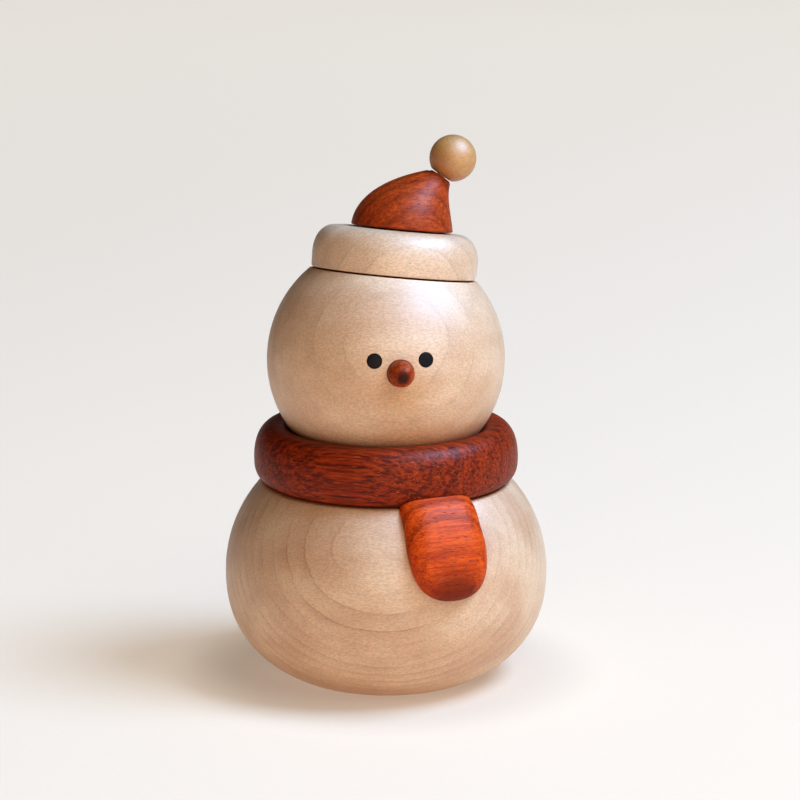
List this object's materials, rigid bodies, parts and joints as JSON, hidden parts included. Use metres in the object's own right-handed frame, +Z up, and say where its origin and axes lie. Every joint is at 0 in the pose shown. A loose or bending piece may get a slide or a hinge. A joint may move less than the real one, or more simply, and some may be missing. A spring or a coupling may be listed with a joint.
{
  "type": "wooden snowman figure",
  "caption": "Standing snowman figure turned from pale and red woods, with a round scarf, a bent cap and a head that turns on a dowel.",
  "frame": {"origin": "centre of the flat base, on the surface that the figure stands on", "axes": "+Z up, the face looks along -Y, the cap bends towards +X, the figure's left"},
  "size_m": [0.06, 0.0625, 0.1005],
  "materials": {
    "body_maple": "satin, fine sanded maple",
    "head_maple": "satin, fine sanded maple",
    "brim_maple": "satin, fine sanded maple",
    "pompom_maple": "satin, fine sanded maple",
    "scarf_padauk": "satin, oiled dark padauk",
    "tail_padauk": "satin, oiled padauk",
    "crown_padauk": "satin, oiled padauk",
    "nose_padauk": "satin, oiled padauk",
    "eye_ebony": "polished ebony",
    "dowel_birch": "plain planed birch"
  },
  "bodies": {
    "lower": {"body": "body_maple", "scarf_ring": "scarf_padauk", "scarf_tail": "tail_padauk", "tail_dowel": "dowel_birch", "neck_dowel": "dowel_birch"},
    "upper": {"head": "head_maple", "eye_left": "eye_ebony", "eye_right": "eye_ebony", "nose": "nose_padauk", "hat_brim": "brim_maple", "hat_crown": "crown_padauk", "hat_dowel": "dowel_birch", "pompom": "pompom_maple", "pompom_pin": "dowel_birch"}
  },
  "joints": [
    {"name": "head_swivel", "type": "hinge", "parent": "lower", "child": "upper", "pos_m": [0, 0, 0.0395], "axis": [0, 0, 1], "continuous": true}
  ]
}
